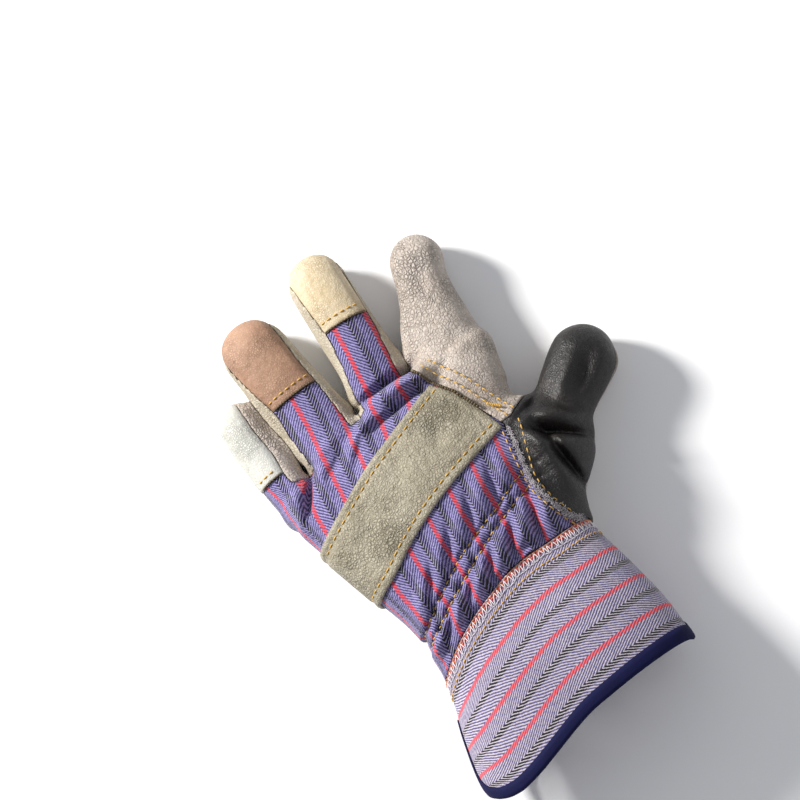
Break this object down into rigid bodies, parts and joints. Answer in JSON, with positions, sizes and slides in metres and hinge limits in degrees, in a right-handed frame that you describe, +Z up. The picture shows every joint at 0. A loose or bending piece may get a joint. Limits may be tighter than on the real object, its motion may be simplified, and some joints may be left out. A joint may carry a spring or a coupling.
{
  "type": "rigger glove, left hand",
  "caption": "Leather and striped cotton rigger glove for the left hand, lying palm down, with a knuckle strap, contrasting fingertips, dark thumb back and flared cuff with navy tape.",
  "frame": {"origin": "On the floor under the middle of the palm, at the centre of the palm_rest mount.", "axes": "+X towards the thumb, +Y towards the fingertips, +Z up, out of the back of the hand"},
  "size_m": [0.1833, 0.2894, 0.0582],
  "materials": {
    "cream_leather": "grained grey-cream hide",
    "tan_leather": "grained tan hide",
    "welt_suede": "napped grey suede",
    "back_cotton": "indigo herringbone drill with red and black stripes",
    "ivory_leather": "smooth ivory hide",
    "brown_leather": "fine-grained brown hide",
    "white_leather": "smooth off-white hide",
    "strap_leather": "grained beige hide",
    "thumb_leather": "dark brown-black hide, soft sheen",
    "cuff_cotton": "lavender-grey herringbone drill with red and black stripes",
    "navy_tape": "matt navy cotton tape",
    "thread": "golden sewing thread"
  },
  "bodies": {
    "root": {"palm_leather": "cream_leather", "middle_finger_front": "tan_leather", "ring_finger_front": "tan_leather", "finger_welt": "welt_suede", "back_cloth": "back_cotton", "middle_fingertip": "ivory_leather", "ring_fingertip": "brown_leather", "little_fingertip": "white_leather", "knuckle_strap": "strap_leather", "thumb_back": "thumb_leather", "cuff": "cuff_cotton", "cuff_binding": "navy_tape"}
  },
  "joints": []
}
